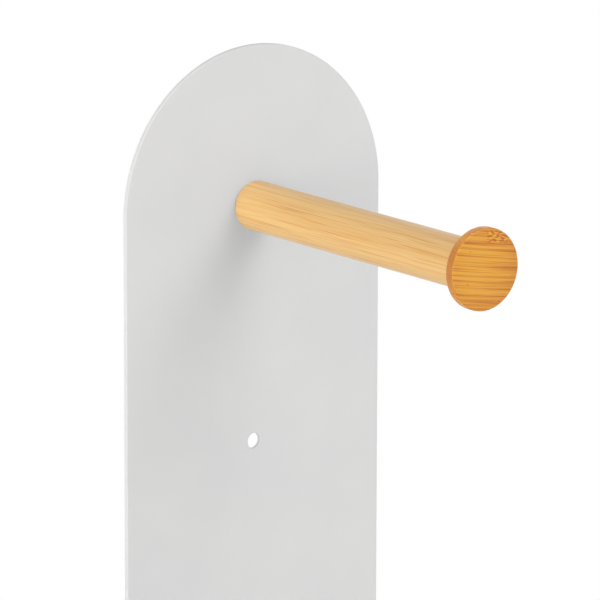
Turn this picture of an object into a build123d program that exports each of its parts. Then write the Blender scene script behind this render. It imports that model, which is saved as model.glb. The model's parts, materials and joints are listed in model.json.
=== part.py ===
from build123d import *
import os

# Freestanding toilet roll holder: a round-topped steel upright on a steel base, with a bamboo arm.
# Millimetres. +Z is up, +X is to the right of a person facing the holder, and the arm points along -Y.
# The origin is on the floor, at the middle of the base's footprint.

os.makedirs("parts", exist_ok=True)

# Upright: one sheet with a half-round top, bent back at its foot into a flange
stand_height = 600.0
plate_width = 130.0
plate_thickness = 2.2
plate_front_y = 55.0
flange_depth = 34.0
flange_corner_radius = 8.0
inner_bend_radius = 2.2
sheet_edge_radius = 0.5

# Arm: a bamboo rod closed by a bamboo disc
arm_drop = 67.0
arm_diameter = 20.6
arm_length = 146.0
arm_heel_round = 1.0
disc_diameter = 33.4
disc_thickness = 4.3
disc_edge_radius = 0.7
disc_pin_diameter = 8.0
disc_pin_length = 16.0
disc_pin_in_disc = 2.8
disc_pin_chamfer = 0.6

# Holes in the upright: the upper one holds the arm, and the lower one is its second position
arm_hole_diameter = 6.6
hole_pitch = 100.0

# Arm fastening, size M6
arm_thread_diameter = 6.0
thread_end_chamfer = 0.5
insert_diameter = 9.0
insert_length = 13.0
insert_nose_chamfer = 0.8
insert_hex_across_flats = 6.3
insert_hex_depth = 3.0
arm_screw_length = 16.0
arm_screw_head_diameter = 10.5
arm_screw_head_height = 3.3
arm_screw_head_round = 2.4
arm_screw_hex_across_flats = 4.0
arm_screw_hex_depth = 1.9
flat_washer_diameter = 18.0
flat_washer_bore = 6.4
washer_thickness = 1.6
washer_edge_radius = 0.2
lock_washer_diameter = 11.8
lock_washer_bore = 6.2
lock_washer_gap = 1.2
lock_washer_gap_lean = 0.8

# Base plate and its feet
base_width = 180.0
base_depth = 210.0
base_thickness = 3.2
base_corner_radius = 25.0
base_edge_radius = 0.6
foot_diameter = 18.0
foot_height = 3.0
foot_edge_radius = 0.6
foot_inset = 22.0

# Base fastening, size M5, driven from below into nuts pressed into the flange
base_screw_spacing = 45.0
base_screw_setback = 19.0
base_hole_diameter = 5.5
base_sink_diameter = 9.6
base_sink_angle = 90.0
base_screw_recess = 0.1
base_thread_diameter = 5.0
base_screw_length = 10.0
cross_slot_width = 1.1
cross_slot_length = 4.6
cross_slot_depth = 1.7
nut_shank_diameter = 6.4
nut_shank_length = 1.4
nut_body_diameter = 9.5
nut_body_height = 3.5
nut_edge_chamfer = 0.4

# Places that follow from the sizes
plate_back_y = plate_front_y + plate_thickness
base_top_z = foot_height + base_thickness
flange_top_z = base_top_z + plate_thickness
outer_bend_radius = inner_bend_radius + plate_thickness
arch_radius = plate_width / 2
arch_centre_z = stand_height - arch_radius
arm_z = stand_height - arm_drop
spare_hole_z = arm_z - hole_pitch
arm_tip_y = plate_front_y - arm_length
disc_pin_in_arm = disc_pin_length - disc_pin_in_disc
lock_washer_y = plate_back_y + washer_thickness
screw_seat_y = lock_washer_y + washer_thickness
base_screw_y = plate_front_y + base_screw_setback
base_screw_spots = {"left": -base_screw_spacing, "centre": 0.0, "right": base_screw_spacing}
foot_x = base_width / 2 - foot_inset
foot_y = base_depth / 2 - foot_inset
foot_spots = {
    "front_left": (-foot_x, -foot_y),
    "front_right": (foot_x, -foot_y),
    "rear_left": (-foot_x, foot_y),
    "rear_right": (foot_x, foot_y),
}


def facing_front(y):
    """An upright plane at y that faces the front: its x is +X, its y is +Z and its normal is -Y."""
    return Plane(origin=(0, y, 0), x_dir=(1, 0, 0), z_dir=(0, -1, 0))


def facing_back(y):
    """An upright plane at y that faces the back: its x is -X, its y is +Z and its normal is +Y."""
    return Plane(origin=(0, y, 0), x_dir=(-1, 0, 0), z_dir=(0, 1, 0))


# Upright plate
with BuildPart() as upright_plate:
    with BuildSketch(Plane.YZ):
        with BuildLine():
            outer_bend_top = (plate_front_y, base_top_z + outer_bend_radius)
            outer_bend_foot = (plate_front_y + outer_bend_radius, base_top_z)
            inner_bend_foot = (plate_front_y + outer_bend_radius, flange_top_z)
            inner_bend_top = (plate_back_y, base_top_z + outer_bend_radius)
            flange_end_foot = (plate_front_y + flange_depth, base_top_z)
            flange_end_top = (plate_front_y + flange_depth, flange_top_z)
            Line((plate_front_y, stand_height), outer_bend_top)
            RadiusArc(outer_bend_top, outer_bend_foot, -outer_bend_radius)
            Polyline(outer_bend_foot, flange_end_foot, flange_end_top, inner_bend_foot)
            RadiusArc(inner_bend_foot, inner_bend_top, inner_bend_radius)
            Polyline(inner_bend_top, (plate_back_y, stand_height), (plate_front_y, stand_height))
        make_face()
    extrude(amount=plate_width / 2, both=True)

    # The outline with its half-round top is cut through from the front
    with BuildSketch(facing_front(plate_front_y)):
        with Locations((0, arch_centre_z)):
            Circle(arch_radius)
        with Locations((0, arch_centre_z / 2)):
            Rectangle(plate_width, arch_centre_z)
    extrude(amount=-flange_depth, mode=Mode.INTERSECT)

    flange_corners = upright_plate.edges().filter_by(Axis.Z).group_by(Axis.Y)[-1]
    fillet(flange_corners, flange_corner_radius)

    # Rounding the arch's two edges rounds the whole rim, because the rim has no sharp corner
    arch_edges = upright_plate.edges().filter_by(GeomType.CIRCLE).group_by(Axis.Z)[-1]
    fillet(arch_edges, sheet_edge_radius)

    with BuildSketch(facing_front(plate_front_y)):
        with Locations((0, arm_z), (0, spare_hole_z)):
            Circle(arm_hole_diameter / 2)
    extrude(amount=-plate_thickness, mode=Mode.SUBTRACT)

    with BuildSketch(Plane.XY.offset(base_top_z)):
        with Locations((0, base_screw_y)):
            with GridLocations(base_screw_spacing, 0, len(base_screw_spots), 1):
                Circle(nut_shank_diameter / 2)
    extrude(amount=plate_thickness, mode=Mode.SUBTRACT)
upright_plate.part.label = "upright_plate"
export_step(upright_plate.part, "parts/upright_plate.step")

# Bamboo rod of the arm, bored at its heel for the threaded insert and at its tip for the disc's pin
with BuildPart() as roll_arm:
    with BuildSketch(facing_front(plate_front_y)):
        with Locations((0, arm_z)):
            Circle(arm_diameter / 2)
    extrude(amount=arm_length)
    fillet(roll_arm.edges().filter_by(GeomType.CIRCLE).sort_by(Axis.Y)[-1], arm_heel_round)
    with BuildSketch(facing_front(plate_front_y)):
        with Locations((0, arm_z)):
            Circle(insert_diameter / 2)
    extrude(amount=insert_length, mode=Mode.SUBTRACT)
    with BuildSketch(facing_front(arm_tip_y)):
        with Locations((0, arm_z)):
            Circle(disc_pin_diameter / 2)
    extrude(amount=-disc_pin_in_arm, mode=Mode.SUBTRACT)
roll_arm.part.label = "roll_arm"
export_step(roll_arm.part, "parts/roll_arm.step")

# Bamboo disc that keeps the roll on the arm
with BuildPart() as arm_end_disc:
    with BuildSketch(facing_front(arm_tip_y)):
        with Locations((0, arm_z)):
            Circle(disc_diameter / 2)
    extrude(amount=disc_thickness)
    fillet(arm_end_disc.edges().filter_by(GeomType.CIRCLE), disc_edge_radius)
    with BuildSketch(facing_front(arm_tip_y)):
        with Locations((0, arm_z)):
            Circle(disc_pin_diameter / 2)
    extrude(amount=disc_pin_in_disc, mode=Mode.SUBTRACT)
arm_end_disc.part.label = "arm_end_disc"
export_step(arm_end_disc.part, "parts/arm_end_disc.step")

# Wooden pin glued into the rod and the disc
with BuildPart() as disc_pin:
    with BuildSketch(facing_front(arm_tip_y + disc_pin_in_arm)):
        with Locations((0, arm_z)):
            Circle(disc_pin_diameter / 2)
    extrude(amount=disc_pin_length)
    chamfer(disc_pin.edges().filter_by(GeomType.CIRCLE), disc_pin_chamfer)
disc_pin.part.label = "disc_pin"
export_step(disc_pin.part, "parts/disc_pin.step")

# Threaded insert in the rod's heel, flush with its end
with BuildPart() as arm_thread_insert:
    with BuildSketch(facing_front(plate_front_y)):
        with Locations((0, arm_z)):
            Circle(insert_diameter / 2)
            Circle(arm_thread_diameter / 2, mode=Mode.SUBTRACT)
    extrude(amount=insert_length)
    nose_edges = arm_thread_insert.edges().filter_by(GeomType.CIRCLE).group_by(Axis.Y)[0]
    chamfer(nose_edges.sort_by(Edge.length)[-1], insert_nose_chamfer)
    with BuildSketch(facing_front(plate_front_y)):
        with Locations((0, arm_z)):
            RegularPolygon(insert_hex_across_flats / 2, 6, major_radius=False)
    extrude(amount=insert_hex_depth, mode=Mode.SUBTRACT)
arm_thread_insert.part.label = "arm_thread_insert"
export_step(arm_thread_insert.part, "parts/arm_thread_insert.step")

# Flat washer that spreads the screw's pull on the back of the plate
with BuildPart() as arm_flat_washer:
    with BuildSketch(facing_back(plate_back_y)):
        with Locations((0, arm_z)):
            Circle(flat_washer_diameter / 2)
    extrude(amount=washer_thickness)
    fillet(arm_flat_washer.edges().filter_by(GeomType.CIRCLE), washer_edge_radius)
    with BuildSketch(facing_back(plate_back_y)):
        with Locations((0, arm_z)):
            Circle(flat_washer_bore / 2)
    extrude(amount=washer_thickness, mode=Mode.SUBTRACT)
arm_flat_washer.part.label = "arm_flat_washer"
export_step(arm_flat_washer.part, "parts/arm_flat_washer.step")

# Split lock washer, pressed flat, with a slit that leans through its thickness
with BuildPart() as arm_lock_washer:
    with BuildSketch(facing_back(lock_washer_y)):
        with Locations((0, arm_z)):
            Circle(lock_washer_diameter / 2)
            Circle(lock_washer_bore / 2, mode=Mode.SUBTRACT)
    extrude(amount=washer_thickness)
    with BuildSketch(Plane.XY.offset(arm_z)):
        with BuildLine():
            Polyline(
                (0, lock_washer_y),
                (lock_washer_gap, lock_washer_y),
                (lock_washer_gap + lock_washer_gap_lean, screw_seat_y),
                (lock_washer_gap_lean, screw_seat_y),
                close=True,
            )
        make_face()
    extrude(amount=lock_washer_diameter, mode=Mode.SUBTRACT)
arm_lock_washer.part.label = "arm_lock_washer"
export_step(arm_lock_washer.part, "parts/arm_lock_washer.step")

# Button-head screw that holds the arm from behind
with BuildPart() as arm_screw:
    with BuildSketch(facing_back(screw_seat_y)):
        with Locations((0, arm_z)):
            Circle(arm_screw_head_diameter / 2)
    extrude(amount=arm_screw_head_height)
    fillet(arm_screw.edges().filter_by(GeomType.CIRCLE).sort_by(Axis.Y)[-1], arm_screw_head_round)
    with BuildSketch(facing_front(screw_seat_y)):
        with Locations((0, arm_z)):
            Circle(arm_thread_diameter / 2)
    extrude(amount=arm_screw_length)
    chamfer(arm_screw.edges().filter_by(GeomType.CIRCLE).sort_by(Axis.Y)[0], thread_end_chamfer)
    with BuildSketch(facing_back(screw_seat_y + arm_screw_head_height)):
        with Locations((0, arm_z)):
            RegularPolygon(arm_screw_hex_across_flats / 2, 6, major_radius=False)
    extrude(amount=-arm_screw_hex_depth, mode=Mode.SUBTRACT)
arm_screw.part.label = "arm_screw"
export_step(arm_screw.part, "parts/arm_screw.step")

# Base plate, with countersunk holes on its underside
with BuildPart() as base_plate:
    with BuildSketch(Plane.XY.offset(foot_height)):
        RectangleRounded(base_width, base_depth, base_corner_radius)
    extrude(amount=base_thickness)
    fillet(base_plate.edges().group_by(Axis.Z)[0], base_edge_radius)
    fillet(base_plate.edges().group_by(Axis.Z)[-1], base_edge_radius)
    with Locations(Plane(origin=(0, base_screw_y, foot_height), x_dir=(1, 0, 0), z_dir=(0, 0, -1))):
        with GridLocations(base_screw_spacing, 0, len(base_screw_spots), 1):
            CounterSinkHole(
                base_hole_diameter / 2, base_sink_diameter / 2, counter_sink_angle=base_sink_angle
            )
base_plate.part.label = "base_plate"
export_step(base_plate.part, "parts/base_plate.step")

# Rubber feet under the base's corners
for place, (x, y) in foot_spots.items():
    with BuildPart() as foot_pad:
        with BuildSketch(Plane.XY):
            with Locations((x, y)):
                Circle(foot_diameter / 2)
        extrude(amount=foot_height)
        fillet(foot_pad.edges().filter_by(GeomType.CIRCLE).sort_by(Axis.Z)[0], foot_edge_radius)
    foot_pad.part.label = f"foot_pad_{place}"
    export_step(foot_pad.part, f"parts/foot_pad_{place}.step")

# Countersunk screws, whose cones sit in the base's countersinks
for place, x in base_screw_spots.items():
    head_z = foot_height + base_screw_recess
    head_radius = base_sink_diameter / 2 - base_screw_recess
    thread_radius = base_thread_diameter / 2
    end_z = head_z + base_screw_length
    with BuildPart() as base_screw:
        with BuildSketch(Plane(origin=(x, base_screw_y, 0), x_dir=(1, 0, 0), z_dir=(0, -1, 0))):
            with BuildLine():
                Polyline(
                    (0, head_z),
                    (head_radius, head_z),
                    (thread_radius, head_z + head_radius - thread_radius),
                    (thread_radius, end_z - thread_end_chamfer),
                    (thread_radius - thread_end_chamfer, end_z),
                    (0, end_z),
                    close=True,
                )
            make_face()
        revolve(axis=Axis((x, base_screw_y, 0), (0, 0, 1)))
        with BuildSketch(Plane.XY.offset(head_z)):
            with Locations((x, base_screw_y)):
                Rectangle(cross_slot_width, cross_slot_length)
                Rectangle(cross_slot_length, cross_slot_width)
        extrude(amount=cross_slot_depth, mode=Mode.SUBTRACT)
    base_screw.part.label = f"base_screw_{place}"
    export_step(base_screw.part, f"parts/base_screw_{place}.step")

# Nuts pressed into the flange from above
for place, x in base_screw_spots.items():
    with BuildPart() as flange_nut:
        with BuildSketch(Plane.XY.offset(flange_top_z)):
            with Locations((x, base_screw_y)):
                Circle(nut_body_diameter / 2)
        extrude(amount=nut_body_height)
        chamfer(flange_nut.edges().filter_by(GeomType.CIRCLE).sort_by(Axis.Z)[-1], nut_edge_chamfer)
        with BuildSketch(Plane.XY.offset(flange_top_z)):
            with Locations((x, base_screw_y)):
                Circle(nut_shank_diameter / 2)
        extrude(amount=-nut_shank_length)
        with BuildSketch(Plane.XY.offset(flange_top_z - nut_shank_length)):
            with Locations((x, base_screw_y)):
                Circle(base_thread_diameter / 2)
        extrude(amount=nut_shank_length + nut_body_height, mode=Mode.SUBTRACT)
    flange_nut.part.label = f"flange_nut_{place}"
    export_step(flange_nut.part, f"parts/flange_nut_{place}.step")
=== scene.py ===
"""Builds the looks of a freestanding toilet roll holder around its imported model.

Everything is in metres in the row frame: +Z is up, +X is to the right of a person facing the holder, and
the arm points along -Y. The file is laid out as an add-on, whose panel has a button for each group of
pieces and shows its settings.
"""

import json
import math

import bmesh
import bpy
from bpy.props import FloatProperty, FloatVectorProperty, IntProperty, PointerProperty
from mathutils import Matrix, Vector
from mathutils.geometry import delaunay_2d_cdt


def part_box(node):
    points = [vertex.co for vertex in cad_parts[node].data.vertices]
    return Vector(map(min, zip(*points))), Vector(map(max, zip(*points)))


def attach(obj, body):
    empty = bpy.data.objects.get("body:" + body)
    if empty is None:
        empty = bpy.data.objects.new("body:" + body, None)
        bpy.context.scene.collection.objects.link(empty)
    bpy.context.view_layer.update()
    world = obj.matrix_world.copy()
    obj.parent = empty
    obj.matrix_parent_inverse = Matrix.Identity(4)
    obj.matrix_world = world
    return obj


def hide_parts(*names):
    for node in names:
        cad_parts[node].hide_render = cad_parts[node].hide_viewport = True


bl_info = {
    "name": "Toilet roll holder",
    "version": (1, 0, 0),
    "blender": (4, 5, 0),
    "location": "3D View > Sidebar > Roll Holder",
    "description": "Builds a steel and bamboo toilet roll holder around its packed model",
    "category": "Object",
}

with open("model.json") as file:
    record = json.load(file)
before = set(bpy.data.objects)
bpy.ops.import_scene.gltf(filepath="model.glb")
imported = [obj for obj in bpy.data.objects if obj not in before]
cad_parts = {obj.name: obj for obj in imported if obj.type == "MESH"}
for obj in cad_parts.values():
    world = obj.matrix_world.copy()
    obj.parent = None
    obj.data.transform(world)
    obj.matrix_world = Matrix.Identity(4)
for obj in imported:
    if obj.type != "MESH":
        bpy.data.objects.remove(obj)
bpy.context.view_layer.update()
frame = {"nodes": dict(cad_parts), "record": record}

MM = 0.001
BODY = "root"

# Half of the outer width of a clinch nut's shank, which fills its hole in the flange
NUT_SHANK_RADIUS = 3.2 * MM

# The small break on edges that were cut square
CUT_EDGE = 0.15 * MM

# Edges past these angles stay sharp in the shading
SHARP_METAL = math.radians(32)
SHARP_WOOD = math.radians(50)


def middle(node):
    """The middle of a CAD node's box."""
    low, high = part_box(node)
    return (low + high) / 2


def extent(node):
    """The size of a CAD node's box."""
    low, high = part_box(node)
    return high - low


def screen_colour(red, green, blue):
    """A linear colour from its red, green and blue on a screen, each from 0 to 255."""
    shares = [value / 255 for value in (red, green, blue)]
    return tuple(s / 12.92 if s <= 0.04045 else ((s + 0.055) / 1.055) ** 2.4 for s in shares)


def as_number(label, tip, default):
    """A setting that is a plain number."""
    return FloatProperty(name=label, description=tip, default=default)


def as_length(label, tip, millimetres):
    """A setting that is a length."""
    return FloatProperty(name=label, description=tip, default=millimetres * MM, unit="LENGTH")


def as_angle(label, tip, degrees):
    """A setting that is an angle."""
    return FloatProperty(name=label, description=tip, default=math.radians(degrees), subtype="ANGLE")


def as_colour(label, tip, red, green, blue):
    """A setting that is a colour, given as its screen values."""
    default = screen_colour(red, green, blue)
    return FloatVectorProperty(name=label, description=tip, default=default, subtype="COLOR")


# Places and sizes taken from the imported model
arm_z = middle("roll_arm").z
arm_radius = extent("roll_arm").z / 2
arm_heel_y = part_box("roll_arm")[1].y
arm_tip_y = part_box("roll_arm")[0].y
disc_radius = extent("arm_end_disc").z / 2
disc_thickness = extent("arm_end_disc").y
insert_radius = extent("arm_thread_insert").z / 2
insert_length = extent("arm_thread_insert").y
pin_radius = extent("disc_pin").z / 2
pin_back_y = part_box("disc_pin")[1].y
pin_front_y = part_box("disc_pin")[0].y
plate_front_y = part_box("upright_plate")[0].y
plate_back_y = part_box("arm_flat_washer")[0].y
plate_thickness = plate_back_y - plate_front_y
plate_half_width = extent("upright_plate").x / 2
arch_centre_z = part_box("upright_plate")[1].z - plate_half_width
flange_end_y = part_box("upright_plate")[1].y
base_low, base_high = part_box("base_plate")
base_thickness = base_high.z - base_low.z
flange_top_z = base_high.z + plate_thickness
spare_hole = next(mount for mount in frame["record"]["mounts"] if mount["name"] == "spare_hole")
screw_hole_radius = spare_hole["dims"]["r_mm"] * MM
base_screw_spacing = middle("base_screw_right").x
base_screw_y = middle("base_screw_right").y
base_screw_row = (-base_screw_spacing, 0.0, base_screw_spacing)
base_screws = [f"base_screw_{place}" for place in ("left", "centre", "right")]
flange_nuts = [f"flange_nut_{place}" for place in ("left", "centre", "right")]
foot_pads = ("foot_pad_front_left", "foot_pad_front_right", "foot_pad_rear_left", "foot_pad_rear_right")


class SheetSettings(bpy.types.PropertyGroup):
    """The painted steel sheets: the upright and the base plate."""

    rim_radius: as_length("Rim radius", "Rounding of the upright's painted edges", 0.5)
    base_rim_radius: as_length("Base rim radius", "Rounding of the base plate's painted edges", 0.6)
    hole_rim_radius: as_length("Hole rim radius", "Rounding of the holes' painted edges", 0.2)
    bend_radius: as_length("Bend radius", "Inside radius of the bend at the upright's foot", 2.2)
    flange_corner_radius: as_length("Flange corner radius", "Rounding of the flange's corners", 8.0)
    base_corner_radius: as_length("Base corner radius", "Rounding of the base plate's corners", 25.0)
    coat_colour: as_colour("Coat colour", "Colour of the powder coat", 245, 245, 244)
    coat_shade: as_colour("Coat shade", "Colour of the coat where it lies thinner", 242, 242, 242)


class BambooSettings(bpy.types.PropertyGroup):
    """The bamboo rod and its end disc."""

    rod_colour: as_colour("Rod colour", "Colour of the rod between its fibres", 253, 206, 130)
    rod_fibre_colour: as_colour("Rod fibre colour", "Colour of the rod's darker fibres", 228, 156, 72)
    disc_colour: as_colour("Disc colour", "Colour of the disc between its fibres", 255, 183, 52)
    disc_fibre_colour: as_colour("Disc fibre colour", "Colour of the disc's darker fibres", 206, 106, 4)
    # Darker than the rod's end grain alone: painted shade in the gap between the heel and the upright
    rod_end_colour: as_colour("Rod end colour", "Colour of the cut ends at the rod's heel", 120, 72, 36)
    disc_end_colour: as_colour("Disc end colour", "Colour of the cut ends on the disc's rim", 214, 134, 36)
    heel_round: as_length("Heel rounding", "Softened edge at the rod's heel", 1.0)
    disc_round: as_length("Disc rounding", "Softened edges of the disc", 0.7)
    disc_grain_tilt: as_angle("Disc grain tilt", "Angle of the disc's grain to the horizontal", -10)


class FastenerSettings(bpy.types.PropertyGroup):
    """The screws, nuts and washers."""

    zinc_colour: as_colour("Zinc colour", "Colour of the zinc plate", 176, 180, 184)
    arm_thread_pitch: as_length("Arm thread pitch", "Pitch of the M6 thread", 1.0)
    base_thread_pitch: as_length("Base thread pitch", "Pitch of the M5 thread", 0.8)
    turn_seed: IntProperty(
        name="Turn seed", description="Seed for how far each base screw is turned", default=4
    )


class FootSettings(bpy.types.PropertyGroup):
    """The rubber feet."""

    rubber_colour: as_colour("Rubber colour", "Colour of the feet", 198, 198, 195)
    foot_round: as_length("Foot rounding", "Softened lower edge of a foot", 0.6)


class StageSettings(bpy.types.PropertyGroup):
    """The floor, the lights and the camera."""

    camera_place: FloatVectorProperty(
        name="Camera place", description="Where the camera stands", subtype="TRANSLATION", unit="LENGTH",
        default=(-1.4376, -1.8536, 1.0477),
    )
    camera_heading: as_angle("Camera heading", "Turn of the view from +Y towards +X", 37.439)
    camera_dip: as_angle("Camera dip", "Angle of the view below the horizontal", 13.071)
    camera_roll: as_angle("Camera roll", "Turn of the camera about its view", 0.157)
    camera_lens: as_number("Camera lens", "Focal length in millimetres on a 36 mm sensor", 356.88)
    sky_light: as_number("Sky light", "Strength of the even light from all round", 0.248)
    key_light: as_number("Key light", "Power of the soft light at the upper right, in watts", 62.0)
    front_light: as_number("Front light", "Power of the low soft light in front, in watts", 21.0)
    side_light: as_number("Side light", "Power of the low soft light at the left, in watts", 112.0)
    rear_light: as_number("Rear light", "Power of the low soft light behind, in watts", 60.0)


class HolderSettings(bpy.types.PropertyGroup):
    """All that a user would change on the holder."""

    sheet: PointerProperty(type=SheetSettings)
    bamboo: PointerProperty(type=BambooSettings)
    fasteners: PointerProperty(type=FastenerSettings)
    feet: PointerProperty(type=FootSettings)
    stage: PointerProperty(type=StageSettings)


def round_corners(corners, steps=6):
    """A line through (across, along, radius) corners, with an arc of that radius at each inner corner."""
    line = [Vector(corners[0][:2])]
    for before, corner, after in zip(corners, corners[1:], corners[2:]):
        point, radius = Vector(corner[:2]), corner[2]
        back = (Vector(before[:2]) - point).normalized()
        ahead = (Vector(after[:2]) - point).normalized()
        opening = back.angle(ahead)
        if radius == 0 or opening > math.radians(179):
            line.append(point)
            continue
        centre = point + (back + ahead).normalized() * radius / math.sin(opening / 2)
        start = point + back * radius / math.tan(opening / 2)
        end = point + ahead * radius / math.tan(opening / 2)
        turn = (end - centre).angle_signed(start - centre)
        for step in range(steps + 1):
            line.append(centre + Matrix.Rotation(turn * step / steps, 2) @ (start - centre))
    line.append(Vector(corners[-1][:2]))
    return line


def turned_mesh(name, rings, steps, place, sharp_angle, hollow=False):
    """A smooth closed mesh through rings of (radius, height), where a radius may depend on the angle.

    The first and last rings are closed at the axis, or joined to each other on a hollow piece.
    """
    build = bmesh.new()
    angles = [2 * math.pi * step / steps for step in range(steps)]
    loops = []
    for radius, height in rings:
        loop = []
        for angle in angles:
            reach = radius(angle) if callable(radius) else radius
            loop.append(build.verts.new(place(reach, angle, height)))
        loops.append(loop)
    neighbours = list(zip(loops, loops[1:]))
    if hollow:
        neighbours.append((loops[-1], loops[0]))
    for lower, upper in neighbours:
        for here in range(steps):
            beside = (here + 1) % steps
            build.faces.new((lower[here], lower[beside], upper[beside], upper[here]))
    if not hollow:
        for loop, height in ((loops[0], rings[0][1]), (loops[-1], rings[-1][1])):
            pole = build.verts.new(place(0.0, 0.0, height))
            for here in range(steps):
                build.faces.new((loop[here], loop[(here + 1) % steps], pole))
    bmesh.ops.recalc_face_normals(build, faces=build.faces)
    mesh = bpy.data.meshes.new(name)
    build.to_mesh(mesh)
    build.free()
    return smooth_by_area(mesh, sharp_angle)


def on_arm(start_y, towards=-1):
    """Places a turned piece on the arm's axis, its height counted from start_y along +Y or -Y."""

    def place(radius, angle, height):
        across, up = radius * math.cos(angle), radius * math.sin(angle)
        return Vector((across, start_y + towards * height, arm_z + up))

    return place


def upright_axis(start_z):
    """Places a turned piece on the Z axis, its height counted upwards from start_z."""

    def place(radius, angle, height):
        return Vector((radius * math.cos(angle), radius * math.sin(angle), start_z + height))

    return place


def edge_normals(profile):
    """The outward and height shares of the surface's direction at each point of an edge's profile."""
    normals = []
    for index in range(len(profile)):
        around = profile[max(index - 1, 0):index + 2]
        run = sum((end - start for start, end in zip(around, around[1:])), Vector((0, 0)))
        normals.append(Vector((-run.y, -run.x)).normalized())
    return normals


def loop_directions(loop):
    """The direction out of the material at each point of a loop with the material on its left."""
    directions = []
    for index, point in enumerate(loop):
        before, after = loop[index - 1], loop[(index + 1) % len(loop)]
        first = Vector((point.y - before.y, before.x - point.x)).normalized()
        second = Vector((after.y - point.y, point.x - after.x)).normalized()
        middle_way = (first + second).normalized()
        directions.append(middle_way / max(middle_way.dot(first), 0.5))
    return directions


def sheet_mesh(name, loops, fold_lines, place):
    """A sheet with rounded edges and exact normals.

    loops holds (loop, profile) pairs: the outline first, and then each hole, as points in the flat
    sheet with the material on their left, and the profile of that edge from the front face to the back.
    fold_lines holds the heights at which the flat sheet is divided from side to side. place turns a point
    of the flat sheet and a height through it into a point and the directions of the sheet's length and
    normal there.
    """
    points, normals, faces = [], [], []
    face_loops = {"front": [], "back": []}
    same_height, same_point, inside_share = 0.001 * MM, 1e-9, 0.98

    def add_point(spot, height, outward, height_normal):
        position, along, through = place(spot.x, spot.y, height)
        points.append(position)
        normal = Vector((1, 0, 0)) * outward.x + along * outward.y + through * height_normal
        normals.append(normal.normalized())
        return len(points) - 1

    for loop, profile in loops:
        directions = loop_directions(loop)
        rings = []
        for (inset, height), (out_share, height_share) in zip(profile, edge_normals(profile)):
            ring = []
            for spot, direction in zip(loop, directions):
                outward = direction.normalized() * out_share
                ring.append(add_point(spot - direction * inset, height, outward, height_share))
            rings.append(ring)
        for upper, lower in zip(rings, rings[1:]):
            for here in range(len(loop)):
                beside = (here + 1) % len(loop)
                faces.append((upper[here], lower[here], lower[beside], upper[beside]))
        for side, end in (("front", 0), ("back", -1)):
            inset = profile[end].x
            flat = [spot - direction * inset for spot, direction in zip(loop, directions)]
            face_loops[side].append((rings[end], flat))

    for side, parts in face_loops.items():
        indices = [index for ring, flat in parts for index in ring]
        flat_points = [spot for ring, flat in parts for spot in flat]
        edges, first = [], 0
        for ring, flat in parts:
            edges += [(first + here, first + (here + 1) % len(ring)) for here in range(len(ring))]
            first += len(ring)
        outline = parts[0][1]
        for height in fold_lines:
            ends = [index for index, spot in enumerate(outline) if abs(spot.y - height) < same_height]
            edges.append((ends[0], ends[-1]))
        holes = []
        for ring, flat in parts[1:]:
            hole = sum(flat, Vector((0, 0))) / len(flat)
            holes.append((hole, (flat[0] - hole).length * inside_share))
        spots, _, triangles, sources, _, _ = delaunay_2d_cdt(flat_points, edges, [], 0, same_point)
        origin = [first_source[0] for first_source in sources]
        for triangle in triangles:
            centre = sum((spots[corner] for corner in triangle), Vector((0, 0))) / len(triangle)
            if any((centre - hole).length < reach for hole, reach in holes):
                continue
            corners = [indices[origin[corner]] for corner in triangle]
            faces.append(corners if side == "front" else corners[::-1])

    mesh = bpy.data.meshes.new(name)
    mesh.from_pydata(points, [], faces)
    mesh.shade_smooth()
    mesh.normals_split_custom_set_from_vertices(normals)
    return mesh


def arc(centre, radius, start, end, steps):
    """Points on an arc in the flat sheet, its angles in degrees."""
    angles = [math.radians(start + (end - start) * step / steps) for step in range(steps + 1)]
    return [centre + radius * Vector((math.cos(angle), math.sin(angle))) for angle in angles]


def hole_loop(centre, radius, steps=48):
    """A round hole in the flat sheet, as points with the material on their left."""
    return arc(centre, radius, 360, 0, steps)[:-1]


def rounded_edge(thickness, radius):
    """The profile of a sheet's edge with both of its corners rounded."""
    half = thickness / 2
    flat = 2 * radius
    return round_corners([(flat, half), (0, half, radius), (0, -half, radius), (flat, -half)])


def add_piece(name, mesh, material, slot, *nodes):
    """Links a mesh as a finished piece, which stands for its CAD nodes."""
    piece = bpy.data.objects.new(name, mesh)
    bpy.context.scene.collection.objects.link(piece)
    mesh.materials.clear()
    mesh.materials.append(material)
    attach(piece, BODY)
    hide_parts(*nodes)
    return piece


def modified(mesh, kind, inputs=(), **settings):
    """The plain mesh that a modifier makes of a mesh, from its settings and its node tree's inputs."""
    work = bpy.data.objects.new("work", mesh)
    bpy.context.scene.collection.objects.link(work)
    modifier = work.modifiers.new("work", kind)
    for key, value in settings.items():
        setattr(modifier, key, value)
    for key, value in dict(inputs).items():
        modifier[key] = value
    bpy.context.view_layer.update()
    depsgraph = bpy.context.evaluated_depsgraph_get()
    made = work.evaluated_get(depsgraph)
    plain = bpy.data.meshes.new_from_object(made, preserve_all_data_layers=True, depsgraph=depsgraph)
    work.modifiers.clear()
    bpy.data.objects.remove(work)
    return plain


def smooth_by_area(mesh, sharp_angle):
    """Gives a mesh smooth normals that its large faces lead, and sharp edges past an angle."""
    mesh.shade_smooth()
    mesh.set_sharp_from_angle(angle=sharp_angle)
    return modified(mesh, "WEIGHTED_NORMAL", keep_sharp=True)


def add_node(tree, kind, inputs=(), **settings):
    """Adds a node with its settings and its inputs, each of which is a value or another node's socket."""
    made = tree.nodes.new(kind)
    for key, value in settings.items():
        setattr(made, key, value)
    for key, value in dict(inputs).items():
        if isinstance(value, bpy.types.NodeSocket):
            tree.links.new(value, made.inputs[key])
        else:
            made.inputs[key].default_value = value
    return made


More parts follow.
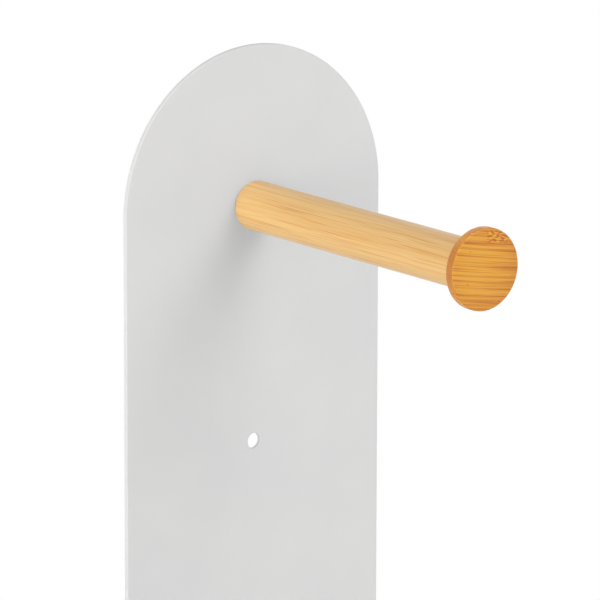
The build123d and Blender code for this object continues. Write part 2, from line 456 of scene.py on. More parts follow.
def grid_repeat_tree():
    """A node tree that repeats a piece on a grid, with each copy turned by a fixed random amount."""
    tree = bpy.data.node_groups.new("repeat_on_grid", "GeometryNodeTree")
    tree.interface.new_socket("Piece", in_out="INPUT", socket_type="NodeSocketGeometry")
    for name, kind in (
        ("Columns", "NodeSocketInt"),
        ("Rows", "NodeSocketInt"),
        ("Column spacing", "NodeSocketFloat"),
        ("Row spacing", "NodeSocketFloat"),
        ("Centre", "NodeSocketVector"),
        ("Largest turn", "NodeSocketFloat"),
        ("Seed", "NodeSocketInt"),
        ("Material", "NodeSocketMaterial"),
    ):
        tree.interface.new_socket(name, in_out="INPUT", socket_type=kind)
    tree.interface.new_socket("Pieces", in_out="OUTPUT", socket_type="NodeSocketGeometry")

    def node(kind, inputs=(), output=0, **settings):
        return add_node(tree, kind, inputs, **settings).outputs[output]

    def math_node(operation, first, second):
        return node("ShaderNodeMath", {0: first, 1: second}, operation=operation)

    given = add_node(tree, "NodeGroupInput").outputs
    index = node("GeometryNodeInputIndex")
    column = math_node("FLOORED_MODULO", index, given["Columns"])
    row = math_node("FLOOR", math_node("DIVIDE", index, given["Columns"]), 0.0)
    half_columns = math_node("DIVIDE", math_node("SUBTRACT", given["Columns"], 1.0), 2.0)
    half_rows = math_node("DIVIDE", math_node("SUBTRACT", given["Rows"], 1.0), 2.0)
    across = math_node("MULTIPLY", math_node("SUBTRACT", column, half_columns), given["Column spacing"])
    along = math_node("MULTIPLY", math_node("SUBTRACT", row, half_rows), given["Row spacing"])
    offset = node("ShaderNodeCombineXYZ", {"X": across, "Y": along})
    spot = node("ShaderNodeVectorMath", {0: offset, 1: given["Centre"]}, operation="ADD")
    count = math_node("MULTIPLY", given["Columns"], given["Rows"])
    spots = node("GeometryNodePoints", {"Count": count, "Position": spot})
    chance = {"Max": given["Largest turn"], "ID": index, "Seed": given["Seed"]}
    turn = node("FunctionNodeRandomValue", chance, "Value", data_type="FLOAT")
    rotation = node("ShaderNodeCombineXYZ", {"Z": turn})
    placed = {"Points": spots, "Instance": given["Piece"], "Rotation": rotation}
    copies = node("GeometryNodeInstanceOnPoints", placed)
    real = node("GeometryNodeRealizeInstances", {"Geometry": copies})
    finished = node("GeometryNodeSetMaterial", {"Geometry": real, "Material": given["Material"]})
    add_node(tree, "NodeGroupOutput", {"Pieces": finished})
    return tree


def repeat_on_grid(mesh, **sizes):
    """The plain mesh of a piece's copies on a grid, which the node tree makes."""
    tree = bpy.data.node_groups.get("repeat_on_grid") or grid_repeat_tree()
    labels = {key.replace("_", " ").capitalize(): value for key, value in sizes.items()}
    inputs = {}
    for socket in tree.interface.items_tree:
        if socket.in_out == "INPUT" and socket.name in labels:
            inputs[socket.identifier] = labels[socket.name]
    return modified(mesh, "NODES", inputs, node_group=tree)


class MaterialNodes:
    """A new material and short calls that add nodes to its tree."""

    def __init__(self, name):
        self.material = bpy.data.materials.new(name)
        self.material.use_nodes = True
        self.tree = self.material.node_tree
        self.tree.nodes.clear()

    def node(self, kind, inputs=(), output=0, **settings):
        """Adds a node and gives one of its outputs."""
        return add_node(self.tree, kind, inputs, **settings).outputs[output]

    def place(self, scale=(1000, 1000, 1000), rotation=(0, 0, 0), location=(0, 0, 0)):
        """Object coordinates, moved, turned and then scaled, which gives millimetres by default."""
        spot = self.node("ShaderNodeTexCoord", output="Object")
        moved = self.node("ShaderNodeMapping", {"Vector": spot, "Location": location})
        return self.node("ShaderNodeMapping", {"Vector": moved, "Rotation": rotation, "Scale": scale})

    def noise(self, vector, scale, detail=2.0, roughness=0.5):
        inputs = {"Vector": vector, "Scale": scale, "Detail": detail, "Roughness": roughness}
        return self.node("ShaderNodeTexNoise", inputs, "Fac")

    def span(self, value, low, high, to_low=0.0, to_high=1.0):
        """Maps a value from one range to another, and holds it there."""
        inputs = {"Value": value, "From Min": low, "From Max": high, "To Min": to_low, "To Max": to_high}
        return self.node("ShaderNodeMapRange", inputs)

    def math(self, operation, first, second=0.0, third=0.0):
        return self.node("ShaderNodeMath", {0: first, 1: second, 2: third}, operation=operation)

    def vector(self, operation, *vectors, output="Vector"):
        return self.node("ShaderNodeVectorMath", enumerate(vectors), output, operation=operation)

    def parts(self, vector):
        """The X, Y and Z of a vector."""
        return add_node(self.tree, "ShaderNodeSeparateXYZ", {"Vector": vector}).outputs

    def join(self, x, y, z=0.0):
        """A vector from its X, Y and Z."""
        return self.node("ShaderNodeCombineXYZ", {"X": x, "Y": y, "Z": z})

    def mix(self, share, *colours):
        """Mixes two colours, each of which is a socket or red, green and blue."""
        first, second = (
            each if isinstance(each, bpy.types.NodeSocket) else (*each, 1.0) for each in colours
        )
        return self.node("ShaderNodeMix", {0: share, 6: first, 7: second}, 2, data_type="RGBA")

    def finish(self, inputs, height, depth):
        """Ends the tree in a Principled surface with a bump of a given depth."""
        bump = self.node("ShaderNodeBump", {"Height": height, "Distance": depth, "Strength": 1.0})
        surface = self.node("ShaderNodeBsdfPrincipled", {**inputs, "Normal": bump})
        add_node(self.tree, "ShaderNodeOutputMaterial", {"Surface": surface})
        return self.material


def powder_coat(sheet):
    """Matt powder coat: an even white with a faint orange peel and a few thinner patches."""
    coat = MaterialNodes("matt_white_coat")
    spot = coat.place()
    patches = coat.span(coat.noise(spot, 0.02, 3.0), 0.35, 0.65)
    colour = coat.mix(patches, tuple(sheet.coat_shade), tuple(sheet.coat_colour))
    peel = coat.noise(spot, 0.7, 2.0, 0.45)
    powder = coat.noise(spot, 3.2, 1.0)
    height = coat.math("ADD", peel, coat.math("MULTIPLY", powder, 0.25))
    roughness = coat.span(peel, 0.3, 0.7, 0.62, 0.7)
    surface = {"Base Color": colour, "Roughness": roughness, "IOR": 1.5}
    return coat.finish(surface, height, 0.006 * MM)


def bamboo(name, grain, colours, cut_range, fibre_start, lines, marks=None):
    """Lacquered bamboo: dark lines along the grain, broad tones, fine fibres, pores and darker end grain,
    which on the rod's heel is also painted shade.

    grain gives the coordinates in millimetres, with X along the grain, and the grain's own direction.
    colours are those of the face, its fibres and the cut ends; on the rod the cut ends' colour is darker
    still, to paint the shade in the gap at its heel. lines lists layers of stretched noise, each with its
    length and width in millimetres, its shift, the part of the noise that darkens and its share.
    """
    wood = MaterialNodes(name)
    spot, direction = grain(wood)
    colour, fibre_colour, end_and_gap_shade_colour = (tuple(each) for each in colours)

    def fibres(length, width, shift, detail=2.0, roughness=0.5):
        """Noise drawn out along the grain, its features about length by width in millimetres."""
        scale = (1 / length, 1 / width, 1 / width)
        drawn = wood.vector("MULTIPLY_ADD", spot, scale, (shift, shift, 0.0))
        return wood.noise(drawn, 1.0, detail, roughness)

    darkness = 0.0
    for length, width, shift, low, high, share in lines:
        layer = wood.span(fibres(length, width, shift), low, high)
        darkness = wood.math("MULTIPLY_ADD", layer, share, darkness)
    if marks is not None:
        darkness = wood.math("ADD", darkness, marks(wood, spot, fibres))
    face = wood.mix(wood.span(darkness, fibre_start, 1.0), colour, fibre_colour)

    # The cut ends of the fibres are darker, with a dot for each bundle; at the rod's heel this also paints
    # the shade in its gap at the upright
    normal = wood.node("ShaderNodeTexCoord", output="Normal")
    facing = wood.vector("DOT_PRODUCT", normal, direction, output="Value")
    cut = wood.span(wood.math("ABSOLUTE", facing), *cut_range)
    dots = wood.span(fibres(40.0, 0.5, 2.2, 1.0), 0.48, 0.68)
    end = wood.mix(dots, end_and_gap_shade_colour, tuple(0.7 * value for value in end_and_gap_shade_colour))
    surface = {
        "Base Color": wood.mix(cut, face, end),
        "Roughness": wood.span(darkness, 0.0, 1.0, 0.42, 0.56),
        "IOR": 1.5,
        "Coat Weight": 0.45,
        "Coat Roughness": 0.25,
    }
    return wood.finish(surface, wood.math("MULTIPLY", darkness, -1.0), 0.02 * MM)


def rod_bamboo(settings):
    """The rod's bamboo, its grain along Y."""

    def grain(wood):
        x, y, z = wood.parts(wood.place(location=(0, 0, -arm_z)))
        return wood.join(y, z, x), (0, 1, 0)

    lines = (
        (38.0, 0.62, 3.1, 0.52, 0.7, 0.5),
        (60.0, 0.34, 8.7, 0.5, 0.7, 0.34),
        (120.0, 3.6, 1.7, 0.34, 0.66, 0.22),
        (16.0, 0.22, 6.3, 0.4, 0.7, 0.14),
        (4.0, 0.26, 9.9, 0.68, 0.8, 0.2),
    )
    colours = (settings.rod_colour, settings.rod_fibre_colour, settings.rod_end_colour)
    # The low range spreads the dark end colour onto the heel's rounding, as painted shade in the gap at
    # the upright
    return bamboo("rod_bamboo", grain, colours, (0.2, 0.55), 0.14, lines)


def disc_bamboo(settings):
    """The disc's bamboo, its grain a little off the horizontal, with one culm node near its upper edge."""
    tilt = settings.disc_grain_tilt
    wave_length, wave_height = 30.0, 1.5

    def grain(wood):
        spot = wood.place(rotation=(0, tilt, 0), location=(0, -arm_tip_y, -arm_z))
        x, y, z = wood.parts(spot)
        wave = wood.noise(spot, 1 / wave_length, 0.0)
        height = wood.math("MULTIPLY_ADD", wave, wave_height, z)
        return wood.join(x, height, y), (math.cos(tilt), 0, math.sin(tilt))

    def marks(wood, spot, fibres):
        """The culm node's short dark and pale cells, a few specks, and painted shade that darkens the face
        from a painted bright spot left of its middle out to the rim.
        """
        node_x, node_y = 3.4, 14.0
        painted_light_centre = (-5.0, 1.0, 0.0)
        x, y, z = wood.parts(spot)
        along = wood.span(wood.math("ABSOLUTE", wood.math("SUBTRACT", x, node_x)), 6.0, 4.0)
        across = wood.span(wood.math("ABSOLUTE", wood.math("SUBTRACT", y, node_y)), 2.8, 1.6)
        cells = wood.span(fibres(2.1, 0.7, 5.5, 0.0), 0.36, 0.66, -0.4, 0.65)
        node_marks = wood.math("MULTIPLY", cells, wood.math("MULTIPLY", along, across))
        flat = wood.join(x, y)
        scattered = {"Vector": flat, "Scale": 0.065}
        dots = wood.node("ShaderNodeTexVoronoi", scattered, "Distance", voronoi_dimensions="2D")
        specks = wood.span(dots, 0.03, 0.012, 0.0, 0.45)
        # Painted light: the face is brightest round a spot left of its middle and darkens out to the rim
        reach = wood.vector("DISTANCE", flat, painted_light_centre, output="Value")
        painted_rim_shade = wood.span(reach, 4.0, 21.0, 0.0, 0.36)
        return wood.math("ADD", wood.math("ADD", node_marks, specks), painted_rim_shade)

    lines = (
        (70.0, 0.8, 3.1, 0.48, 0.66, 0.5),
        (45.0, 0.42, 8.7, 0.48, 0.68, 0.4),
        (140.0, 3.4, 1.7, 0.34, 0.66, 0.2),
        (18.0, 0.22, 6.3, 0.4, 0.7, 0.14),
        (4.0, 0.26, 9.9, 0.7, 0.8, 0.2),
    )
    colours = (settings.disc_colour, settings.disc_fibre_colour, settings.disc_end_colour)
    return bamboo("disc_bamboo", grain, colours, (0.62, 0.97), 0.26, lines, marks)


def zinc_plate(settings):
    """Zinc plate with a faint rolled grain and cloudy passivation."""
    zinc = MaterialNodes("zinc_plate")
    spot = zinc.place()
    clouds = zinc.span(zinc.noise(spot, 0.35, 3.0), 0.35, 0.65)
    pale = tuple(settings.zinc_colour)
    warm = tuple(value * share for value, share in zip(pale, (0.95, 0.93, 0.88)))
    grain = zinc.noise(spot, 5.0, 2.0)
    roughness = zinc.span(grain, 0.3, 0.7, 0.26, 0.4)
    colour = zinc.mix(clouds, pale, warm)
    surface = {"Base Color": colour, "Metallic": 1.0, "Roughness": roughness}
    return zinc.finish(surface, grain, 0.004 * MM)


def foot_rubber(settings):
    """Matte rubber with a fine moulded grain and a little dust."""
    rubber = MaterialNodes("grey_foot_rubber")
    spot = rubber.place()
    dust = rubber.span(rubber.noise(spot, 0.5, 4.0), 0.45, 0.75)
    colour = tuple(settings.rubber_colour)
    dusty = tuple(min(1.0, value * 1.12) for value in colour)
    grain = rubber.noise(spot, 4.0, 3.0)
    roughness = rubber.span(grain, 0.3, 0.7, 0.72, 0.86)
    surface = {"Base Color": rubber.mix(dust, colour, dusty), "Roughness": roughness}
    return rubber.finish(surface, grain, 0.02 * MM)


def plain_wood():
    """Unfinished hardwood of the hidden pin, its grain along Y."""
    wood = MaterialNodes("pin_wood")
    spot = wood.place(scale=(1000, 40, 1000))
    lines = wood.span(wood.noise(spot, 1.4, 3.0), 0.35, 0.7)
    colour = wood.mix(lines, screen_colour(222, 196, 154), screen_colour(196, 164, 118))
    return wood.finish({"Base Color": colour, "Roughness": 0.7}, lines, 0.02 * MM)


def kept_material(name, make, settings):
    """A material that several pieces share, made from its settings when it is first asked for."""
    return bpy.data.materials.get(name) or make(settings)


def thread_rings(start, end, pitch, outer, depth, rings_per_turn=8):
    """Rings of a screw thread from one height to another, which fades out at both ends."""
    flank_slope, crest_width = 3.0, 0.25

    def thread_radius(height):
        """The thread's radius at each angle of one height."""
        fade = min(1.0, (height - start) / pitch, (end - height) / pitch)

        def radius(angle):
            phase = (height / pitch - angle / (2 * math.pi)) % 1.0
            ridge = min(1.0, max(0.0, flank_slope * abs(phase - 0.5) - crest_width))
            return outer - depth * max(fade, 0.0) * ridge

        return radius

    count = max(2, round(abs(end - start) / pitch * rings_per_turn))
    heights = [start + (end - start) * step / count for step in range(count + 1)]
    return [(thread_radius(height), height) for height in heights]


def hexagon(across_flats):
    """The radius of a hexagon at each angle."""
    sixth = math.pi / 3

    def radius(angle):
        return across_flats / 2 / math.cos(angle % sixth - sixth / 2)

    return radius


def cross(length, width):
    """The radius of a cross-shaped recess at each angle."""

    def radius(angle):
        cosine, sine = max(abs(math.cos(angle)), 1e-6), max(abs(math.sin(angle)), 1e-6)
        return max(min(length / cosine, width / sine), min(width / cosine, length / sine)) / 2

    return radius


def make_upright(sheet):
    """The round-topped sheet, bent back at its foot into a flange."""
    outer_radius = sheet.bend_radius + plate_thickness
    middle_radius = sheet.bend_radius + plate_thickness / 2
    bend_centre_y = plate_front_y + outer_radius
    bend_centre_z = base_high.z + outer_radius
    flange_length = flange_end_y - bend_centre_y
    bend_length = middle_radius * math.pi / 2
    bend_end = flange_length + bend_length
    arch_centre = bend_end + arch_centre_z - bend_centre_z

    def place(across, along, height):
        turn = min(max((bend_end - along) / middle_radius, 0.0), math.pi / 2)
        through = Vector((0, -math.cos(turn), -math.sin(turn)))
        upward = Vector((0, -math.sin(turn), math.cos(turn)))
        straight = along - bend_end if turn == 0 else min(along - flange_length, 0.0)
        centre = Vector((across, bend_centre_y, bend_centre_z))
        return centre + through * (middle_radius + height) + upward * straight, upward, through

    bend_steps = 10
    bend_lines = [flange_length + bend_length * step / bend_steps for step in range(bend_steps + 1)]
    side = plate_half_width
    corner = sheet.flange_corner_radius
    outline = arc(Vector((side - corner, corner)), corner, -90, 0, 12)
    outline += [Vector((side, line)) for line in bend_lines]
    outline += arc(Vector((0, arch_centre)), side, 0, 180, 160)
    outline += [Vector((-side, line)) for line in reversed(bend_lines)]
    outline += arc(Vector((corner - side, corner)), corner, 180, 270, 12)

    hole_edge = rounded_edge(plate_thickness, sheet.hole_rim_radius)
    loops = [(outline, rounded_edge(plate_thickness, sheet.rim_radius))]
    for height in (arm_z, spare_hole["pos_m"][2]):
        centre = Vector((0, bend_end + height - bend_centre_z))
        loops.append((hole_loop(centre, screw_hole_radius), hole_edge))
    for across in base_screw_row:
        centre = Vector((across, flange_end_y - base_screw_y))
        loops.append((hole_loop(centre, NUT_SHANK_RADIUS), hole_edge))

    mesh = sheet_mesh("upright", loops, bend_lines, place)
    coat = kept_material("matt_white_coat", powder_coat, sheet)
    add_piece("upright", mesh, coat, "white_powder_coat", "upright_plate")


def make_base(sheet):
    """The base plate, with countersunk holes on its underside."""
    middle_z = (base_low.z + base_high.z) / 2

    def place(across, along, height):
        return Vector((across, along, middle_z + height)), Vector((0, 1, 0)), Vector((0, 0, 1))

    corner = sheet.base_corner_radius
    outline = []
    for quarter, (right, back) in enumerate(((1, -1), (1, 1), (-1, 1), (-1, -1))):
        centre = Vector((right * (base_high.x - corner), back * (base_high.y - corner)))
        outline += arc(centre, corner, 90 * quarter - 90, 90 * quarter, 24)

    hole_radius, sink_radius = 2.75 * MM, 4.8 * MM
    half, sink = base_thickness / 2, sink_radius - hole_radius
    soft = sheet.hole_rim_radius
    straight = [(2 * soft, half), (0, half, soft), (0, sink - half, soft)]
    sunk_edge = round_corners([*straight, (sink, -half, soft), (sink + 2 * soft, -half)], 4)
    loops = [(outline, rounded_edge(base_thickness, sheet.base_rim_radius))]
    for across in base_screw_row:
        loops.append((hole_loop(Vector((across, base_screw_y)), hole_radius), sunk_edge))
    mesh = sheet_mesh("base", loops, [], place)
    coat = kept_material("matt_white_coat", powder_coat, sheet)
    add_piece("base", mesh, coat, "white_powder_coat", "base_plate")


def make_rod(bamboo_settings):
    """The rod, bored for the threaded insert at its heel and for the disc's pin at its tip.

    It throws no warm light back on the plate, which stays an even grey beside it.
    """
    length = arm_heel_y - arm_tip_y
    pin_bore = pin_back_y - arm_tip_y
    bore_break = 0.2 * MM
    profile = round_corners([
        (0.0, insert_length),
        (insert_radius, insert_length, 0),
        (insert_radius, 0.0, bore_break),
        (arm_radius, 0.0, bamboo_settings.heel_round),
        (arm_radius, length, CUT_EDGE),
        (pin_radius, length, CUT_EDGE),
        (pin_radius, length - pin_bore, 0),
        (0.0, length - pin_bore),
    ])
    mesh = turned_mesh("rod", profile[1:-1], 160, on_arm(arm_heel_y), SHARP_WOOD)
    rod = add_piece("rod", mesh, rod_bamboo(bamboo_settings), "bamboo_rod", "roll_arm")
    rod.visible_diffuse = False


def make_disc(bamboo_settings):
    """The end disc, with a blind recess for its pin at the back."""
    recess = arm_tip_y - pin_front_y
    soft = bamboo_settings.disc_round
    corners = [
        (0.0, recess),
        (pin_radius, recess, 0),
        (pin_radius, 0.0, CUT_EDGE),
        (disc_radius, 0.0, soft),
        (disc_radius, disc_thickness, soft),
        (0.0, disc_thickness),
    ]
    profile = round_corners(corners, 8)
    mesh = turned_mesh("end_disc", profile[1:-1], 160, on_arm(arm_tip_y), SHARP_WOOD)
    add_piece("end_disc", mesh, disc_bamboo(bamboo_settings), "bamboo_disc", "arm_end_disc")


def make_arm_fastening(fasteners):
    """The screw and flat washer behind the plate.

    The lock washer, the threaded insert and the pin keep their CAD shapes and get better materials.
    """
    zinc = kept_material("zinc_plate", zinc_plate, fasteners)
    washer_radius = extent("arm_flat_washer").z / 2
    thickness = extent("arm_flat_washer").y
    bore = 3.2 * MM
    soft = 0.2 * MM
    start = ((bore + washer_radius) / 2, 0.0)
    outside = [(washer_radius, 0.0, soft), (washer_radius, thickness, soft)]
    inside = [(bore, thickness, soft), (bore, 0.0, soft)]
    profile = round_corners([start, *outside, *inside, start], 4)
    washer = turned_mesh(
        "flat_washer", profile[:-1], 96, on_arm(plate_back_y, 1), SHARP_METAL, hollow=True
    )
    add_piece("flat_washer", washer, zinc, "zinc_plated_steel", "arm_flat_washer")

    seat_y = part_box("arm_lock_washer")[1].y
    end_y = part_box("arm_screw")[0].y
    head_radius = extent("arm_screw").z / 2
    head_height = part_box("arm_screw")[1].y - seat_y
    length = seat_y - end_y
    thread, thread_depth, undercut = 3.0 * MM, 0.6 * MM, 0.3 * MM
    chamfer = 0.5 * MM
    dome_round = 2.4 * MM
    socket_width, socket_depth = 4.0 * MM, 1.9 * MM
    land_radius = socket_width * 0.72
    socket_lip, socket_break = 0.02 * MM, 0.2 * MM
    drill_radius, drill_depth = 0.6 * MM, 0.5 * MM
    socket_floor = head_height - socket_depth
    dome = round_corners(
        [(head_radius, 0.0), (head_radius, head_height, dome_round), (land_radius, head_height)], 12
    )
    rings = [(thread - chamfer, -length)]
    rings += thread_rings(chamfer - length, -undercut, fasteners.arm_thread_pitch, thread, thread_depth)
    rings += [(thread, 0.0)]
    rings += dome
    rings += [(hexagon(socket_width * 1.06), head_height - socket_lip)]
    rings += [(hexagon(socket_width), head_height - socket_break)]
    rings += [(hexagon(socket_width), socket_floor)]
    rings += [(drill_radius, socket_floor - drill_depth)]
    screw = turned_mesh("arm_bolt", rings, 72, on_arm(seat_y, 1), SHARP_METAL)
    add_piece("arm_bolt", screw, zinc, "zinc_plated_steel", "arm_screw")

    for node in ("arm_lock_washer", "arm_thread_insert"):
        dress_node(node, zinc)
    dress_node("disc_pin", plain_wood())


def dress_node(node, material):
    """Gives a CAD node that stays a better material."""
    materials = frame["nodes"][node].data.materials
    materials.clear()
    materials.append(material)


def make_base_fastening(fasteners):
    """The base's countersunk screws and the flange's pressed nuts, repeated by the node tree."""
    zinc = kept_material("zinc_plate", zinc_plate, fasteners)
    low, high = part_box("base_screw_centre")
    length = high.z - low.z
    head_radius, head_break = (high.x - low.x) / 2, 0.12 * MM
    thread, thread_depth, undercut = 2.5 * MM, 0.5 * MM, 0.3 * MM
    cone = head_radius - thread
    slot_length, slot_width, slot_depth, slot_lip = 4.6 * MM, 1.1 * MM, 1.7 * MM, 0.25 * MM
    rings = [(cross(slot_length * 0.45, slot_width * 0.5), slot_depth)]
    rings += [(cross(slot_length * 0.85, slot_width * 0.9), slot_lip)]
    rings += [(cross(slot_length, slot_width), 0.0)]
    rings += [(slot_length * 0.62, 0.0), (head_radius - head_break, 0.0), (head_radius, head_break)]
    rings += [(thread, cone + head_break)]
    start, end = cone + undercut, length - thread_depth
    rings += thread_rings(start, end, fasteners.base_thread_pitch, thread, thread_depth)
    rings += [(thread - thread_depth, length)]
    screw = turned_mesh("base_bolts", rings, 64, upright_axis(low.z), SHARP_METAL)
    places = {
        "columns": 3,
        "rows": 1,
        "column_spacing": base_screw_spacing,
        "centre": (0.0, base_screw_y, 0.0),
        "largest_turn": 2 * math.pi,
        "material": zinc,
    }
    screws = repeat_on_grid(screw, seed=fasteners.turn_seed, **places)
    add_piece("base_bolts", screws, zinc, "zinc_plated_steel", *base_screws)

    body_radius = extent("flange_nut_centre").x / 2
    body_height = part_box("flange_nut_centre")[1].z - flange_top_z
    shank_length = flange_top_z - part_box("flange_nut_centre")[0].z
    bore, lead_in, chamfer = 2.5 * MM, 0.35 * MM, 0.4 * MM
    start = (bore, body_height / 2)
    corners = [
        start,
        (bore, body_height - lead_in, 0),
        (bore + lead_in, body_height, CUT_EDGE),
        (body_radius - chamfer, body_height, CUT_EDGE),
        (body_radius, body_height - chamfer, CUT_EDGE),
        (body_radius, 0.0, CUT_EDGE),
        (NUT_SHANK_RADIUS, 0.0, 0),
        (NUT_SHANK_RADIUS, -shank_length, 0),
        (bore, -shank_length, 0),
        start,
    ]
    profile = round_corners(corners, 4)
    nut = turned_mesh(
        "clinch_nuts", profile[:-1], 72, upright_axis(flange_top_z), SHARP_METAL, hollow=True
    )
    nuts = repeat_on_grid(nut, seed=fasteners.turn_seed + 1, **places)
    add_piece("clinch_nuts", nuts, zinc, "zinc_plated_steel", *flange_nuts)


def make_feet(feet):
    """The four rubber feet, repeated by the node tree."""
    rubber = foot_rubber(feet)
    low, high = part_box("foot_pad_rear_right")
    radius, height = (high.x - low.x) / 2, high.z - low.z
    profile = round_corners(
        [(0.0, 0.0), (radius, 0.0, feet.foot_round), (radius, height, CUT_EDGE), (0.0, height)], 8
    )
    pad = turned_mesh("feet", profile[1:-1], 72, upright_axis(low.z), SHARP_WOOD)
    pads = repeat_on_grid(
        pad, columns=2, rows=2, column_spacing=low.x + high.x, row_spacing=low.y + high.y, material=rubber
    )
    add_piece("feet", pads, rubber, "foot_rubber", *foot_pads)


def seen_share(tree):
    """One for what is seen straight on, through glass or in a reflection, and nothing for other rays."""
    path = add_node(tree, "ShaderNodeLightPath").outputs
    seen = path["Is Camera Ray"]
    for name in ("Is Glossy Ray", "Is Transmission Ray"):
        either = add_node(tree, "ShaderNodeMath", {0: seen, 1: path[name]}, operation="MAXIMUM")
        seen = either.outputs[0]
    return seen


def make_floor():
    """A pale floor that keeps the holder's shadow near it and runs out into white.

    It is clear from below, and to short rays from the holder's underside, which it would blacken.
    """
    reach, fade_start, fade_end = 60.0, 0.3, 1.1
    short_ray = base_low.z * 3
    floor_mesh = bpy.data.meshes.new("floor")
    corners = [(-reach, -reach, 0), (reach, -reach, 0), (reach, reach, 0), (-reach, reach, 0)]
    floor_mesh.from_pydata(corners, [], [(0, 1, 2, 3)])
    floor = bpy.data.objects.new("floor", floor_mesh)
    bpy.context.scene.collection.objects.link(floor)
    pale = MaterialNodes("pale_floor")
    distance = pale.vector("LENGTH", pale.node("ShaderNodeTexCoord", output="Object"), output="Value")
    fade = {"Value": distance, "From Min": fade_start, "From Max": fade_end, "To Min": 0.5}
    far = pale.node("ShaderNodeMapRange", fade, interpolation_type="SMOOTHSTEP")
    matte = pale.node("ShaderNodeBsdfDiffuse", {"Color": (0.9, 0.9, 0.9, 1.0)})
    white = pale.node("ShaderNodeEmission", {"Strength": 1.0})
    whitened = pale.math("MULTIPLY", far, seen_share(pale.tree))
    shown = pale.node("ShaderNodeMixShader", {0: whitened, 1: matte, 2: white})
    under = pale.node("ShaderNodeNewGeometry", output="Backfacing")
    ray_length = pale.node("ShaderNodeLightPath", output="Ray Length")
    under = pale.math("MAXIMUM", under, pale.math("LESS_THAN", ray_length, short_ray))
    clear = pale.node("ShaderNodeBsdfTransparent")
    both = pale.node("ShaderNodeMixShader", {0: under, 1: shown, 2: clear})
    add_node(pale.tree, "ShaderNodeOutputMaterial", {"Surface": both})
    floor_mesh.materials.append(pale.material)


def make_sky(strength):
    """An even pale light from all round, which the camera and reflections see as white."""
    world = bpy.data.worlds.new("studio")
    world.use_nodes = True
    bpy.context.scene.world = world
    tree = world.node_tree
    tree.nodes.clear()
    seen = seen_share(tree)
    white = {"Color": (1, 1, 1, 1), "Strength": 1.0}
    lit = add_node(tree, "ShaderNodeBackground", {**white, "Strength": strength}).outputs[0]
    plain = add_node(tree, "ShaderNodeBackground", white).outputs[0]
    mixed = add_node(tree, "ShaderNodeMixShader", {0: seen, 1: lit, 2: plain}).outputs[0]
    add_node(tree, "ShaderNodeOutputWorld", {"Surface": mixed})


def add_softbox(name, heading, rise, size, power):
    """A square area light round the holder, at a heading from -Y towards +X and an angle of rise.

    A low one isn't seen in reflections, where it would burn out the paint at a flat view.
    """
    distance, aim_below_arm, lowest_reflected = 4.5, 0.1, 20
    light = bpy.data.lights.new(name, "AREA")
    light.shape = "SQUARE"
    light.size = size
    light.energy = power
    box = bpy.data.objects.new(name, light)
    turn, lift = math.radians(heading), math.radians(rise)
    level = math.cos(lift)
    outward = Vector((math.sin(turn) * level, -math.cos(turn) * level, math.sin(lift)))
    box.location = Vector((0, plate_front_y, arm_z - aim_below_arm)) + outward * distance
    box.rotation_euler = outward.to_track_quat("Z", "Y").to_euler()
    box.visible_glossy = rise > lowest_reflected
    bpy.context.scene.collection.objects.link(box)


def make_stage(stage):
    """The floor, the lights and the camera."""
    make_floor()
    make_sky(stage.sky_light)
    add_softbox("key_softbox", 25, 40, 2.8, stage.key_light)
    add_softbox("front_softbox", 0, 10, 2.8, stage.front_light)
    add_softbox("side_softbox", -80, 9, 2.8, stage.side_light)
    add_softbox("rear_softbox", 180, 9, 2.0, stage.rear_light)
    lens = bpy.data.cameras.new("camera")
    lens.sensor_width = 36.0
    lens.lens = stage.camera_lens
    camera = bpy.data.objects.new("camera", lens)
    camera.matrix_world = (
        Matrix.Translation(stage.camera_place)
        @ Matrix.Rotation(-stage.camera_heading, 4, "Z")
        @ Matrix.Rotation(math.pi / 2 - stage.camera_dip, 4, "X")
        @ Matrix.Rotation(stage.camera_roll, 4, "Z")
    )
    bpy.context.scene.collection.objects.link(camera)
    bpy.context.scene.camera = camera
    bpy.context.scene.view_settings.view_transform = "Standard"


class PieceOperator:
    """Makes one group of pieces, or the stage, from its own settings."""

    def execute(self, context):
        self.make(getattr(context.scene.roll_holder, self.settings))
        return {"FINISHED"}


class ROLLHOLDER_OT_upright(PieceOperator, bpy.types.Operator):
    """Make the round-topped upright"""

    bl_idname = "roll_holder.upright"
    bl_label = "Upright"
    make = staticmethod(make_upright)
    settings = "sheet"


class ROLLHOLDER_OT_base(PieceOperator, bpy.types.Operator):
    """Make the base plate"""

    bl_idname = "roll_holder.base"
    bl_label = "Base plate"
    make = staticmethod(make_base)
    settings = "sheet"


class ROLLHOLDER_OT_rod(PieceOperator, bpy.types.Operator):
    """Make the bamboo rod"""

    bl_idname = "roll_holder.rod"
    bl_label = "Bamboo rod"
    make = staticmethod(make_rod)
    settings = "bamboo"


class ROLLHOLDER_OT_disc(PieceOperator, bpy.types.Operator):
    """Make the bamboo end disc"""

    bl_idname = "roll_holder.disc"
    bl_label = "End disc"
    make = staticmethod(make_disc)
    settings = "bamboo"


class ROLLHOLDER_OT_arm_fastening(PieceOperator, bpy.types.Operator):
    """Make the screw and washers that hold the arm"""

    bl_idname = "roll_holder.arm_fastening"
    bl_label = "Arm fastening"
    make = staticmethod(make_arm_fastening)
    settings = "fasteners"


class ROLLHOLDER_OT_base_fastening(PieceOperator, bpy.types.Operator):
    """Make the screws and nuts that join the upright to the base"""

    bl_idname = "roll_holder.base_fastening"
    bl_label = "Base fastening"
    make = staticmethod(make_base_fastening)
    settings = "fasteners"


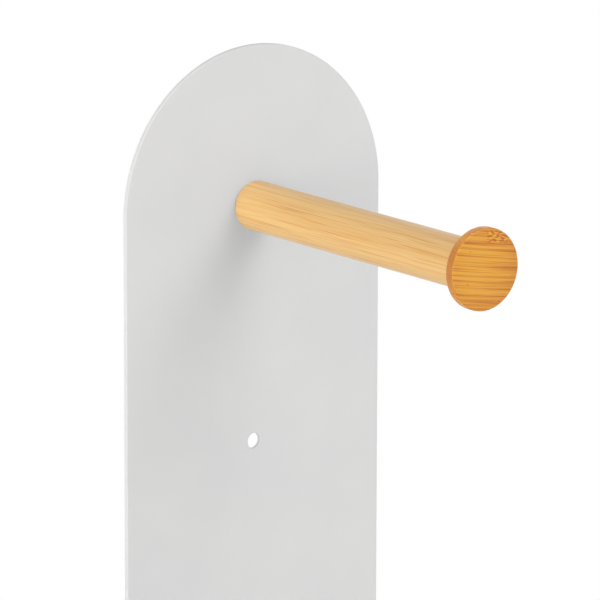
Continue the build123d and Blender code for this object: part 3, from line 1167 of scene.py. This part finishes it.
class ROLLHOLDER_OT_feet(PieceOperator, bpy.types.Operator):
    """Make the rubber feet"""

    bl_idname = "roll_holder.feet"
    bl_label = "Feet"
    make = staticmethod(make_feet)
    settings = "feet"


class ROLLHOLDER_OT_stage(PieceOperator, bpy.types.Operator):
    """Make the floor, the lights and the camera"""

    bl_idname = "roll_holder.stage"
    bl_label = "Stage"
    make = staticmethod(make_stage)
    settings = "stage"


operators = (
    ROLLHOLDER_OT_upright,
    ROLLHOLDER_OT_base,
    ROLLHOLDER_OT_rod,
    ROLLHOLDER_OT_disc,
    ROLLHOLDER_OT_arm_fastening,
    ROLLHOLDER_OT_base_fastening,
    ROLLHOLDER_OT_feet,
    ROLLHOLDER_OT_stage,
)


class ROLLHOLDER_PT_panel(bpy.types.Panel):
    """The holder's pieces and their settings"""

    bl_idname = "ROLLHOLDER_PT_panel"
    bl_label = "Roll Holder"
    bl_space_type = "VIEW_3D"
    bl_region_type = "UI"
    bl_category = "Roll Holder"

    def draw(self, context):
        for operator in operators:
            self.layout.operator(operator.bl_idname)
        holder = context.scene.roll_holder
        for group in (holder.sheet, holder.bamboo, holder.fasteners, holder.feet, holder.stage):
            box = self.layout.box()
            for name in group.bl_rna.properties.keys():
                if name not in ("rna_type", "name"):
                    box.prop(group, name)


classes = (
    SheetSettings,
    BambooSettings,
    FastenerSettings,
    FootSettings,
    StageSettings,
    HolderSettings,
    *operators,
    ROLLHOLDER_PT_panel,
)


def register():
    for each in classes:
        bpy.utils.register_class(each)
    bpy.types.Scene.roll_holder = PointerProperty(type=HolderSettings)


def unregister():
    del bpy.types.Scene.roll_holder
    for each in reversed(classes):
        bpy.utils.unregister_class(each)


def main():
    """Builds the stage and every piece."""
    register()
    bpy.ops.roll_holder.stage()
    bpy.ops.roll_holder.upright()
    bpy.ops.roll_holder.base()
    bpy.ops.roll_holder.rod()
    bpy.ops.roll_holder.disc()
    bpy.ops.roll_holder.arm_fastening()
    bpy.ops.roll_holder.base_fastening()
    bpy.ops.roll_holder.feet()


if __name__ == "__main__":
    main()
